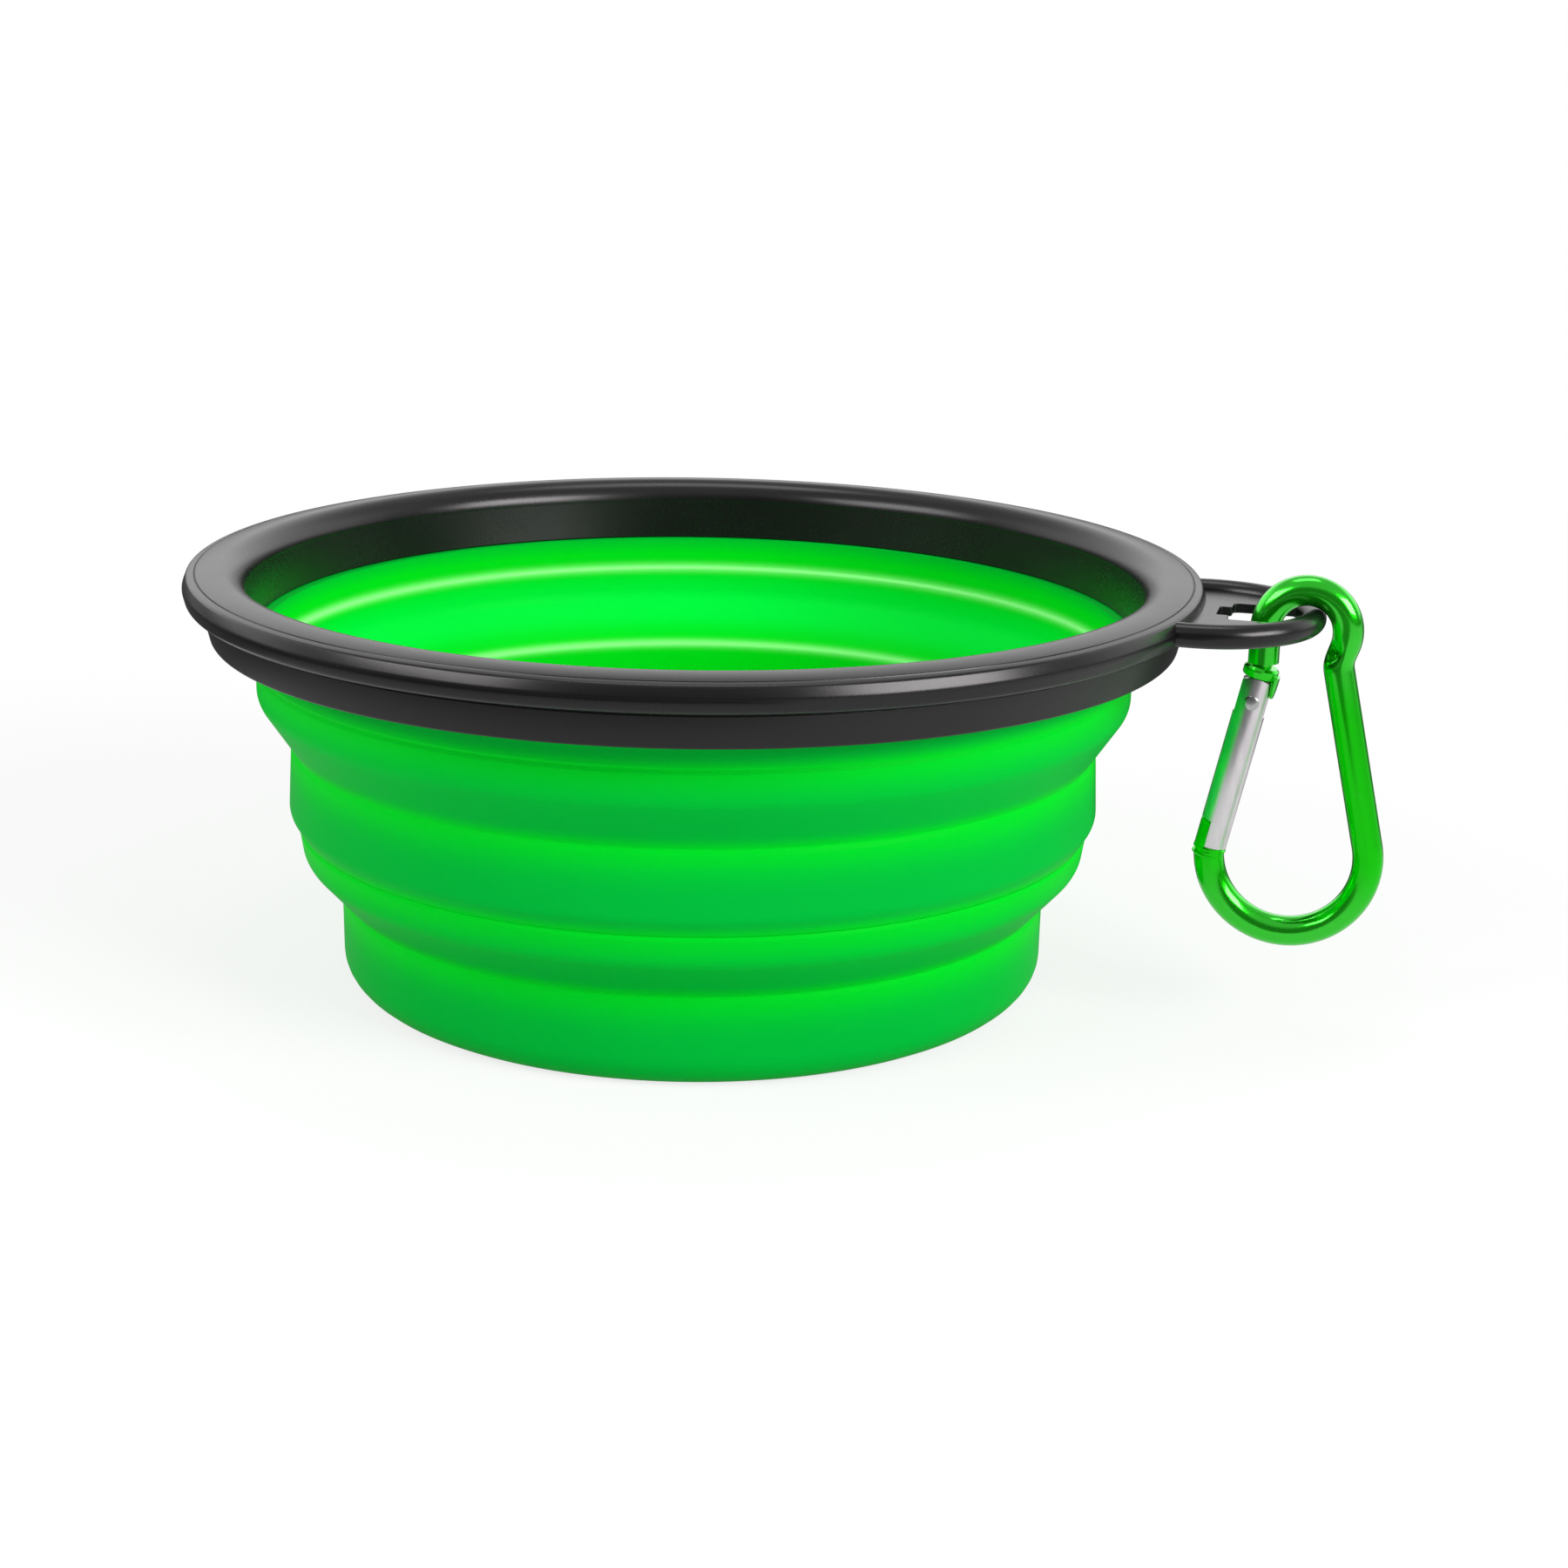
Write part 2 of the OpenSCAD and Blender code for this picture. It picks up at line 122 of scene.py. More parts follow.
class RimSizes(bpy.types.PropertyGroup):
    radius: length("Radius", 65, "Outer radius of the rim")
    crown: length("Crown", 54.8, "Height of the rim's highest line")
    crease: length("Crease", 54.5, "Height of the fine crease on top of the rim")
    band: length("Band", 50.5, "Height of the outer band's lower edge")
    roll: length("Roll", 3.1, "Radius of the roll on the inner edge")
    skirt: length("Skirt", 61.7, "Radius of the clamp ring's lower edge")
    flare: length("Skirt flare", 1, "How much further out the clamp ring reaches where it meets the rim")
    tab_radius: length("Tab radius", 13.4, "Radius of the tab's rounded edge in plan")
    tab_edge: length("Tab edge", 1.5, "Radius of the tab's rounded edge")
    tab_plate: length("Tab plate", 1.2, "Thickness of the plate in the tab")


class HookSizes(bpy.types.PropertyGroup):
    bar: length("Bar", 1.9, "Radius of the hook's bar")
    eye: length("Eye", 5, "Radius of the small eye at the bar's centre")
    drop: length("Drop", 4.5, "Length of the upright stretch of bar under the eye, on the gate's side")
    bend: length("Bend", 9.85, "Radius of the wide bend at the bar's centre")
    side: length("Gate side", 29.55, "Length of the gate's side of the hook, from the eye's middle")
    neck: length("Neck", 0.9, "Length of the straight neck under the eye, on the far side")
    neck_turn: FloatProperty(
        name="Neck turn", default=math.radians(20), subtype="ANGLE", description="Slant of that neck"
    )
    lean: FloatProperty(
        name="Lean", default=math.radians(12), subtype="ANGLE", description="Lean of the gate's side"
    )
    gate: length("Gate", 2, "Radius of the gate")
    pivot: length("Pivot", 9.3, "Distance of the gate's pivot below the eye's middle")


class Colours(bpy.types.PropertyGroup):
    rim: colour("Rim", (0.0032, 0.0036, 0.0035), "Black moulded plastic of the rim")
    # The wall's greens paint light and shade: a shaded green, a green lit below the creases, a lighter green for
    # the inner faces, and a pale green for painted highlights on the inner ridges.
    wall_deep: colour("Wall, thick", (0.0, 0.455, 0.042), "Green of the wall where it is thick")
    wall_thin: colour("Wall, thin", (0.0, 0.78, 0.006), "Green of the wall where the light comes through")
    wall_inside: colour("Wall, inside", (0.0, 0.82, 0.052), "Green of the sloping faces inside the bowl")
    wall_edge: colour("Wall, thin edges", (0.30, 1.0, 0.28), "Pale green of the thin edges inside the bowl")
    hook: colour("Hook", (0.010, 0.72, 0.004), "Green anodised bar")
    gate: colour("Gate", (0.92, 0.87, 0.91), "Bare metal of the gate")
    steel: colour("Steel", (0.62, 0.62, 0.63), "Rivet, spring and plunger")
    floor: colour("Floor", (0.9, 0.9, 0.9), "Floor that the bowl stands on")
    wall_shine: share("Wall shine", 0.02, "How much the green wall mirrors its surroundings")


class Layout:
    """The sizes in millimetres, and the places that are worked out from them."""

    def __init__(self, scene):
        for group in (scene.bowl_wall, scene.bowl_rim, scene.bowl_hook):
            prefix = type(group).__name__.replace("Sizes", "").lower()
            for key in group.__annotations__:
                value = getattr(group, key)
                setattr(self, f"{prefix}_{key}", value if key in ("lean", "neck_turn") else value / MM)
        self.inner_upper = self.wall_upper_radius - self.wall_thickness
        self.shoulder_radius = self.wall_middle_radius + SHOULDER_OUT
        self.step_radius = self.shoulder_radius - STEP_IN
        self.lower_radius = self.step_radius - SHOULDER_OUT
        # the rim's hidden side: the lip, and the groove that holds the wall's bead
        self.lip_radius = self.wall_upper_radius - 0.1
        self.groove_radius = self.lip_radius + LIP_THICK
        self.groove_low = self.groove_radius + 0.55 * LIP_LEAN
        self.groove_top = self.wall_joint + 0.53 * (self.rim_crown - self.wall_joint)
        self.skirt_low = self.wall_joint - 0.45
        self.clamp_radius = self.rim_skirt - 0.5
        self.neck_radius = self.groove_radius + GAP + 0.9
        self.bead_radius = self.clamp_radius - LIP_THICK - GAP
        self.foot_top = self.skirt_low + 1.1
        self.place_hook()

    def place_hook(self):
        """Places in the hook's plane, as X and Z."""
        self.edge_x = self.rim_radius + self.rim_tab_radius
        self.edge_z = self.rim_band + (self.rim_crease - self.rim_band) / 2
        self.plate_top = self.edge_z + 0.4
        play = self.hook_eye - self.hook_bar - self.rim_tab_edge - GAP
        touch = math.radians(60)  # where the eye rests on the tab's edge
        self.eye = np.array([self.edge_x - play * math.cos(touch), self.edge_z - play * math.sin(touch)])
        lean = self.hook_lean
        self.along = np.array([math.sin(lean), math.cos(lean)])
        self.across = np.array([math.cos(lean), -math.sin(lean)])
        self.side_top = self.eye - np.array([self.hook_eye, 0])
        self.foot = self.side_top - np.array([0, self.hook_drop])
        self.bend_centre = self.on_side(self.hook_side) + np.array([self.hook_bend, 0])
        self.nose = self.hook_side - 0.6
        self.head_low = self.hook_pivot - HEAD_GAP
        self.head_top = self.head_low - HEAD_HIGH

    def on_side(self, distance, inward=0.0):
        """A place on the gate's side, by its distance below the eye's middle and inward to the loop."""
        return self.foot - (distance - self.hook_drop) * self.along + inward * self.across

    def side_matrix(self, distance):
        """Local X points into the loop, Y out of the hook's plane and Z up along the bar."""
        x, z = self.on_side(distance)
        turn = Matrix((
            (self.across[0], 0, self.along[0]),
            (0, 1, 0),
            (self.across[1], 0, self.along[1]),
        )).to_4x4()
        return Matrix.Translation((x * MM, 0, z * MM)) @ turn


# Shader building


class Wire:
    """A shader socket whose sums and products add their Math nodes."""

    def __init__(self, build, socket):
        self.build = build
        self.socket = socket

    def _math(self, operation, *values):
        return self.build.node("ShaderNodeMath", {"operation": operation}, *values)

    def __add__(self, other):
        return self._math("ADD", self, other)

    def __radd__(self, other):
        return self._math("ADD", other, self)

    def __sub__(self, other):
        return self._math("SUBTRACT", self, other)

    def __rsub__(self, other):
        return self._math("SUBTRACT", other, self)

    def __mul__(self, other):
        return self._math("MULTIPLY", self, other)

    def __rmul__(self, other):
        return self._math("MULTIPLY", other, self)


class Finish:
    """A material, or the world, and the nodes that make it."""

    def __init__(self, owner):
        owner.use_nodes = True
        self.owner = owner
        self.tree = owner.node_tree
        self.tree.nodes.clear()

    def node(self, kind, settings=None, *values, out=0, **sockets):
        """A new node: its settings, then the values or wires of its sockets; out picks what it gives."""
        made = self.tree.nodes.new(kind)
        for key, value in (settings or {}).items():
            setattr(made, key, value)
        for index, value in enumerate(values):
            self.feed(made.inputs[index], value)
        for key, value in sockets.items():
            self.feed(made.inputs[key.replace("_", " ")], value)
        return Wire(self, made.outputs[out]) if made.outputs else None

    def feed(self, socket, value):
        """Links or sets one socket; None leaves it as it is."""
        if value is None:
            return
        if isinstance(value, Wire):
            self.tree.links.new(value.socket, socket)
        elif isinstance(value, (tuple, list)) and socket.type == "RGBA" and len(value) == 3:
            socket.default_value = (*value, 1)
        else:
            socket.default_value = value

    def place(self):
        """The place on the piece itself, in metres, so that marks stay with it as it moves."""
        return self.node("ShaderNodeTexCoord", out="Object")

    def noise(self, scale, detail, vector=None):
        return self.node(
            "ShaderNodeTexNoise", None, Vector=vector or self.place(), Scale=scale, Detail=detail, out="Fac"
        )

    def stretched(self, x, y, z):
        return self.node("ShaderNodeVectorMath", {"operation": "MULTIPLY"}, self.place(), (x, y, z))

    def ramp(self, factor, low, high):
        """factor from low to high as 0 to 1, with soft ends."""
        return self.node(
            "ShaderNodeMapRange", {"interpolation_type": "SMOOTHSTEP"}, Value=factor, From_Min=low, From_Max=high
        )

    def mix(self, factor, first, second):
        """A mix of two colours, whose sockets follow those of the node's other kinds."""
        others = [None] * 5
        return self.node("ShaderNodeMix", {"data_type": "RGBA"}, factor, *others, first, second, out=2)

    def bump(self, height, strength, distance):
        return self.node("ShaderNodeBump", None, Height=height, Strength=strength, Distance=distance)

    def surface(self, **sockets):
        made = self.node("ShaderNodeBsdfPrincipled", None, **sockets)
        self.node("ShaderNodeOutputMaterial", None, made)
        return self.owner


def new_finish(name):
    return Finish(bpy.data.materials.new(name))


def moulded_plastic(name, base, dull):
    """Black plastic with a fine moulded grain, a little duller in patches."""
    f = new_finish(name)
    grain = f.noise(scale=2600, detail=2)
    patches = f.noise(scale=45, detail=4)
    return f.surface(
        Base_Color=f.mix(f.ramp(patches, 0.3, 0.75), base, tuple(1.6 * c for c in base)),
        Roughness=dull + 0.10 * patches + 0.04 * grain,
        Specular_Tint=(1.0, 0.95, 0.975),
        Normal=f.bump(grain, strength=0.06, distance=0.03 * MM),
    )


def green_silicone(colours):
    """Soft green moulding with painted light and shade: lighter below the creases, painted shade under the rim,
    painted light on the inner faces, painted highlights on the inner ridges, and a satin skin.
    """
    f = new_finish("green_silicone")
    glow, ledge, edge = (
        f.node("ShaderNodeAttribute", {"attribute_name": name}, out="Fac") for name in ("glow", "ledge", "edge")
    )
    cloud = f.noise(scale=60, detail=3)
    skin = f.noise(scale=1500, detail=2)
    # painted light and shade: lighter just below each crease, darker lower down and in the painted shade under the
    # rim
    tint = f.mix(glow + (cloud - 0.5) * 0.12, tuple(colours.wall_deep), tuple(colours.wall_thin))
    # painted light on the inner faces, strongest on the upper fold's up-facing ledge
    tint = f.mix(ledge, tint, tuple(colours.wall_inside))
    return f.surface(
        # painted highlights along the inner crease ridges
        Base_Color=f.mix(edge, tint, tuple(colours.wall_edge)),
        Roughness=0.38 + 0.12 * cloud + 0.05 * skin - 0.14 * edge,
        Specular_IOR_Level=colours.wall_shine,
        Normal=f.bump(skin, strength=0.08, distance=0.04 * MM),
    )


def anodised(base):
    """Satin green metal with fine draw lines and paler rubbed spots, under a clear coat set stronger round the eye
    and the lower bend so that highlights show there.
    """
    f = new_finish("anodised_green")
    height = f.node("ShaderNodeSeparateXYZ", None, f.place(), out="Z")
    eye = f.ramp(height, 41 * MM, 49 * MM)
    bend = 1.0 - f.ramp(height, 14 * MM, 23 * MM)
    lines = f.noise(scale=900, detail=2, vector=f.stretched(1, 6, 0.25))
    rubbed = f.ramp(f.noise(scale=220, detail=5), 0.62, 0.8)
    return f.surface(
        Base_Color=f.mix(rubbed * 0.2, base, (0.1, 0.8, 0.08)),
        Metallic=0.88,
        Roughness=0.16 + 0.08 * lines,
        Specular_IOR_Level=0.1,
        # coat strength placed by height, strong at the eye and the lower bend to give highlights there, weak on
        # the leg
        Coat_Weight=0.08 + 0.65 * (eye + bend),
        Coat_IOR=1.7,
        Coat_Roughness=0.06,
        Normal=f.bump(lines, strength=0.05, distance=0.03 * MM),
    )


def bare_metal(name, base, polish):
    """Bare metal, drawn along the bar."""
    f = new_finish(name)
    lines = f.noise(scale=1400, detail=3, vector=f.stretched(1, 1, 0.12))
    return f.surface(
        Base_Color=f.mix(f.ramp(lines, 0.35, 0.7), tuple(0.9 * c for c in base), base),
        Metallic=1.0,
        Roughness=polish + 0.10 * lines,
        Normal=f.bump(lines, strength=0.06, distance=0.03 * MM),
    )


# Mesh building


def placed(name, bm, material=None):
    """A new object in the scene, with the bmesh as its mesh."""
    mesh = bpy.data.meshes.new(name)
    bm.to_mesh(mesh)
    bm.free()
    if material:
        mesh.materials.append(material)
    made = bpy.data.objects.new(name, mesh)
    bpy.context.scene.collection.objects.link(made)
    return made


def finish_mesh(name, bm, material, body, sharp=40.0):
    """Turns a bmesh into a piece that rides on a body; edges over the sharp angle stay crisp."""
    bmesh.ops.recalc_face_normals(bm, faces=bm.faces)
    piece = placed(name, bm, material)
    piece.data.polygons.foreach_set("use_smooth", [True] * len(piece.data.polygons))
    piece.data.set_sharp_from_angle(angle=math.radians(sharp))
    if body:
        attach(piece, body)
    return piece


def worked_out(holder):
    """The mesh that an object's curve or modifiers give."""
    bpy.context.view_layer.update()
    evaluated = holder.evaluated_get(bpy.context.evaluated_depsgraph_get())
    bm = bmesh.new()
    bm.from_mesh(evaluated.to_mesh())
    evaluated.to_mesh_clear()
    return bm


def rounded(corners, steps=8):
    """An open outline whose corners (x, z, radius) are turned into arcs; the ends stay as they are."""
    made = []
    for i, (x, z, radius) in enumerate(corners):
        here = np.array([x, z], float)
        if radius <= 0 or i in (0, len(corners) - 1):
            made.append(here)
            continue
        u = np.array(corners[i - 1][:2]) - here
        v = np.array(corners[i + 1][:2]) - here
        u /= np.linalg.norm(u)
        v /= np.linalg.norm(v)
        half = math.acos(max(-1.0, min(1.0, float(u @ v)))) / 2
        middle = u + v
        centre = here + middle / np.linalg.norm(middle) * radius / math.sin(half)
        first = here + u * radius / math.tan(half) - centre
        last = here + v * radius / math.tan(half) - centre
        start = math.atan2(first[1], first[0])
        turn = math.atan2(first[0] * last[1] - first[1] * last[0], float(first @ last))
        for k in range(steps + 1):
            a = start + turn * k / steps
            made.append(centre + radius * np.array([math.cos(a), math.sin(a)]))
    return made


def divided(points, longest):
    """The same outline with no stretch longer than given."""
    made = [points[0]]
    for a, b in zip(points, points[1:]):
        parts = max(1, math.ceil(np.linalg.norm(b - a) / longest))
        made.extend(a + (b - a) * k / parts for k in range(1, parts + 1))
    return made


def round_axis(radius, height, steps):
    """Points in metres on a circle round the Z axis, or the one point on the axis."""
    count = 1 if radius < ON_AXIS else steps
    return [
        Vector((radius * MM * math.cos(a), radius * MM * math.sin(a), height * MM))
        for a in (2 * math.pi * k / steps for k in range(count))
    ]


def spun(outline, steps=RIM_STEPS, **marks):
    """A closed outline in radius and height, spun round the Z axis; marks become point attributes."""
    bm = bmesh.new()
    layers = {name: bm.verts.layers.float.new(name) for name in marks}
    rings = []
    for index, (r, z) in enumerate(outline):
        ring = [bm.verts.new(point) for point in round_axis(r, z, steps)]
        for name, layer in layers.items():
            for vert in ring:
                vert[layer] = marks[name][index]
        rings.append(ring)
    bridge(bm, rings + rings[:1], steps)
    return bm


def turned(bm, profile, matrix, steps=BAR_STEPS):
    """Adds a turned shell round a local Z axis: profile is a list of (radius, height)."""
    bridge(bm, [[bm.verts.new(matrix @ point) for point in round_axis(r, z, steps)] for r, z in profile], steps)


def bridge(bm, rings, steps):
    """Faces between neighbouring rings; a ring of one point closes to it."""
    for a, b in zip(rings, rings[1:]):
        if len(a) == len(b) == 1:
            continue
        for k in range(steps):
            n = (k + 1) % steps
            if len(a) == 1:
                bm.faces.new((a[0], b[k], b[n]))
            elif len(b) == 1:
                bm.faces.new((a[k], a[n], b[0]))
            else:
                bm.faces.new((a[k], a[n], b[n], b[k]))


def capped(bm, rings):
    """Faces between the rings, and one over each end."""
    bm.faces.new(rings[0])
    bm.faces.new(rings[-1])
    bridge(bm, rings, len(rings[0]))


def swept(bm, path, radius, shape=None, steps=BAR_STEPS):
    """Adds a round bar with flat ends along a path in the XZ plane; shape moves single points."""
    path = [np.array(p, float) for p in path]
    rings = []
    total = len(path)
    for i, p in enumerate(path):
        tangent = path[min(i + 1, total - 1)] - path[max(i - 1, 0)]
        tangent /= np.linalg.norm(tangent)
        normal = np.array([-tangent[1], tangent[0]])
        ring = []
        for k in range(steps):
            a = 2 * math.pi * k / steps
            x, z = p + radius * math.cos(a) * normal
            point = Vector((x, radius * math.sin(a), z))
            if shape:
                point = shape(point)
            ring.append(bm.verts.new(point * MM))
        rings.append(ring)
    first, last = ([bm.verts.new(Vector((p[0], 0, p[1])) * MM)] for p in (path[0], path[-1]))
    bridge(bm, [first, *rings, last], steps)


def arc(centre, radius, first, last, step=0.22):
    """Points on an arc between two angles in degrees."""
    count = max(2, math.ceil(abs(math.radians(last - first)) * radius / step))
    return [
        np.array(centre) + radius * np.array([math.cos(a), math.sin(a)])
        for a in np.radians(np.linspace(first, last, count + 1))
    ]


def straight(a, b, step=0.4):
    """Points on a straight line."""
    count = max(2, math.ceil(np.linalg.norm(np.array(b) - np.array(a)) / step))
    return [np.array(a) + (np.array(b) - np.array(a)) * k / count for k in range(count + 1)]


def joined(*runs, apart=0.02):
    """Runs of points as one path, without points closer than apart to the one before."""
    made = list(runs[0])
    for run in runs[1:]:
        made.extend(p for p in run if np.linalg.norm(p - made[-1]) > apart)
    return made


# The rim, its tab and the clamp ring


def rim_outline(s):
    """The rim's section: roll, top with its fine crease, outer band, and the hidden groove."""
    crown = np.array([s.lip_radius + LIP_LEAN + s.rim_roll, s.rim_crown - 0.05])
    roll = [
        crown + s.rim_roll * np.array([math.cos(a), math.sin(a) - 1])
        for a in np.radians(np.linspace(180, 90, 22))
    ]
    crease = np.array([s.rim_radius - 1.75, s.rim_crease - 0.15])
    swell = 0.08
    top = [
        crown + (crease - crown) * t + np.array([0, swell * math.sin(math.pi * t)]) for t in (0.25, 0.5, 0.75)
    ]
    side = rounded([
        (*top[-1], 0),
        (*crease, 0.12),
        (crease[0] + 0.11, crease[1] - 0.27, 0.05),
        (crease[0] + 0.26, crease[1] - 0.04, 0.08),
        (s.rim_radius - 0.6, s.rim_crease - 0.4, 0.5),
        (s.rim_radius, s.rim_crease - 1.9, 1.3),
        (s.rim_radius - 0.4, s.rim_band + 0.5, 0.8),
        (s.rim_radius - 1.9, s.rim_band, 0.4),
        (s.clamp_radius + GAP, s.rim_band, 0),
        (s.clamp_radius + GAP, s.groove_top, 0),
        (s.groove_low, s.groove_top, 0),
        (s.groove_radius, s.wall_joint, 0.15),
        (s.lip_radius, s.wall_joint, 0.15),
        (*roll[0], 0),
    ], 6)
    return [*roll, *top, *side[1:-1]]


def make_rim(s, material):
    """The rim's ring; its tab is in pieces of its own."""
    piece = finish_mesh("rim", spun(rim_outline(s)), material, "rim", 50)
    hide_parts("rim_ring")


def make_tab_edge(s, material):
    """The tab's rounded edge: a round bar on an arc, whose ends run on into the rim."""
    bm = bmesh.new()
    into_rim = 10.3
    reach = 180 - math.degrees(math.acos(s.rim_tab_radius / (2 * s.rim_radius))) + into_rim
    rings = []
    count = 120
    for i in range(count + 1):
        a = math.radians(-reach + 2 * reach * i / count)
        out = Vector((math.cos(a), math.sin(a), 0))
        centre = Vector((s.rim_radius, 0, s.edge_z)) + out * s.rim_tab_radius
        rings.append([
            bm.verts.new((centre + s.rim_tab_edge * (math.cos(b) * out + Vector((0, 0, math.sin(b))))) * MM)
            for b in (2 * math.pi * k / TAB_STEPS for k in range(TAB_STEPS))
        ])
    capped(bm, rings)
    finish_mesh("tab_edge", bm, material, "rim", 50)


def make_tab_plate(s, material):
    """The tab's plate as a filled outline with its stepped slot, and softly rounded edges."""
    reach = math.acos(-s.rim_tab_radius / (2 * s.rim_radius)) + 0.1
    outer = [
        (s.rim_radius + s.rim_tab_radius * math.cos(a), s.rim_tab_radius * math.sin(a))
        for a in np.linspace(-reach, reach, 90)
    ]
    inner_x = s.clamp_radius + 2.6
    outer += [(inner_x, outer[-1][1]), (inner_x, outer[0][1])]
    x0 = s.rim_radius + 3.2
    x1 = s.edge_x - s.rim_tab_edge / 2
    notch = x0 - 1.5
    wide, narrow = 4.7, 2.3
    slot = rounded([
        (x1 - 2, -wide, 0), (x1, -wide, 0.8), (x1, wide, 0.8), (x0, wide, 0.8), (x0, narrow, 0.4),
        (notch, narrow, 0.4), (notch, -narrow, 0.4), (x0, -narrow, 0.4), (x0, -wide, 0.8), (x1 - 2, -wide, 0),
    ], 5)[:-1]
    bevel = 0.15
    curve = bpy.data.curves.new("tab_plate_outline", "CURVE")
    curve.dimensions = "2D"
    curve.fill_mode = "BOTH"
    curve.extrude = (s.rim_tab_plate / 2 - bevel) * MM
    curve.bevel_depth = bevel * MM
    curve.bevel_resolution = 2
    curve.offset = -bevel * MM
    for points in (outer, slot):
        spline = curve.splines.new("POLY")
        spline.points.add(len(points) - 1)
        for target, (x, y) in zip(spline.points, points):
            target.co = (x * MM, y * MM, 0, 1)
        spline.use_cyclic_u = True
    holder = bpy.data.objects.new("tab_plate_holder", curve)
    bpy.context.scene.collection.objects.link(holder)
    bm = worked_out(holder)
    bpy.data.objects.remove(holder)
    bpy.data.curves.remove(curve)
    bmesh.ops.translate(bm, verts=bm.verts, vec=(0, 0, (s.plate_top - s.rim_tab_plate / 2) * MM))
    bmesh.ops.remove_doubles(bm, verts=bm.verts, dist=0.001 * MM)
    finish_mesh("tab_plate", bm, material, "rim", 12)


def make_clamp(s, material):
    """The skirt under the rim, whose upright wall reaches into the groove behind the bead."""
    top = s.rim_band - GAP
    inside = s.neck_radius + GAP
    outline = rounded([
        (inside, s.skirt_low + 0.5, 0),
        (inside, s.skirt_low, 0.1),
        (s.rim_skirt, s.skirt_low, 0.45),
        (s.rim_skirt + s.rim_flare, top, 0.25),
        (s.clamp_radius, top, 0),
        (s.clamp_radius, s.groove_top - GAP, 0.1),
        (s.clamp_radius - LIP_THICK, s.groove_top - GAP, 0.1),
        (s.clamp_radius - LIP_THICK, s.foot_top, 0),
        (inside, s.foot_top, 0.1),
        (inside, s.skirt_low + 0.5, 0),
    ])[:-1]
    piece = finish_mesh("clamp", spun(outline), material, "rim", 50)
    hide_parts("clamp_ring")


# The folding wall


def painted_crease_light(outline, creases, base, gain, reach):
    """How bright the painted light is at each point: most at a crease, fading down over the reach and quickly
    upwards.
    """
    upward = 1.1
    made = []
    for _, z in outline:
        drops = [crease - z for crease in creases]
        fades = [math.exp(-((drop / (reach if drop > 0 else upward)) ** 2)) for drop in drops]
        made.append(base + gain * max(fades))
    return made


def near(outline, places, reach):
    """How close each point is to one of the places (radius, height), from 0 to 1."""
    return [
        max(math.exp(-((math.dist(point, place) / reach) ** 2)) for place in places) for point in outline
    ]


def upper_wall(s):
    """Outline of the bead, collar, upper fold and middle tier, outer face first, with its marks."""
    t = s.wall_thickness
    ledge = 0.4
    outer = divided(rounded([
        (s.bead_radius, s.groove_top - GAP, 0),
        (s.bead_radius, s.foot_top + GAP, 0),
        (s.neck_radius, s.foot_top + GAP, 0),
        (s.neck_radius, s.skirt_low, 0),
        (s.wall_upper_radius, s.wall_joint - t, 0.8),
        (s.wall_upper_radius, s.wall_upper_crease + 0.3, 0.2),
        (s.wall_upper_radius - CREASE, s.wall_upper_crease, 0.15),
        (s.wall_upper_radius, s.wall_upper_crease - 0.5, 0.3),
        (s.wall_upper_radius, s.wall_upper_shoulder, 3.0),
        (s.wall_middle_radius - CREASE, s.wall_middle_crease, 0.35),
        (s.wall_middle_radius + 0.12, s.wall_middle_crease - 0.7, 0.5),
        (s.shoulder_radius, s.wall_middle_shoulder, 2.0),
        (s.step_radius - CREASE, s.wall_lower_crease, 0),
    ]), FOLD_RING)
    inner = divided(rounded([
        (s.step_radius - t, s.wall_lower_crease, 0),
        (s.shoulder_radius - t, s.wall_middle_shoulder, 2.0),
        (s.wall_middle_radius - t, s.wall_middle_crease - 0.2, 0.9),
        (s.inner_upper, s.wall_upper_shoulder, 3.0),
        (s.inner_upper, s.wall_upper_crease - 0.1, 0.25),
        (s.inner_upper + ledge, s.wall_upper_crease + 0.2, 0.2),
        (s.inner_upper + ledge, s.wall_joint - GAP, 0),
        (s.groove_radius + GAP, s.wall_joint - GAP, 0),
        (s.groove_low + GAP, s.groove_top - GAP, 0),
    ]), FOLD_RING)
    creases = (s.wall_upper_crease, s.wall_middle_crease, s.wall_lower_crease)
    middle = s.wall_middle_crease + 0.55 * (s.wall_upper_crease - s.wall_middle_crease)
    rim_shade, ledge_light_reach, highlight_reach = 2.2, 3.6, 0.6
    # The marks paint light and shade: light below each outer crease and shade under the rim inside, light on the
    # upper fold's inner ledge, and highlights on the inner crease ridges.
    marks = {
        "glow": painted_crease_light(outer, creases, 0.0, 0.6, 3.2)
        + [0.2 + 0.6 * min(1.0, max(0.0, (s.wall_joint - z) / rim_shade)) for _, z in inner],
        "ledge": [0.0] * len(outer) + [math.exp(-(((z - middle) / ledge_light_reach) ** 4)) for _, z in inner],
        "edge": [0.0] * len(outer) + near(inner, [
            (s.inner_upper + 0.1, s.wall_upper_crease + 0.05), (s.wall_middle_radius - t, s.wall_middle_crease)
        ], highlight_reach),
    }
    return outer + inner, marks


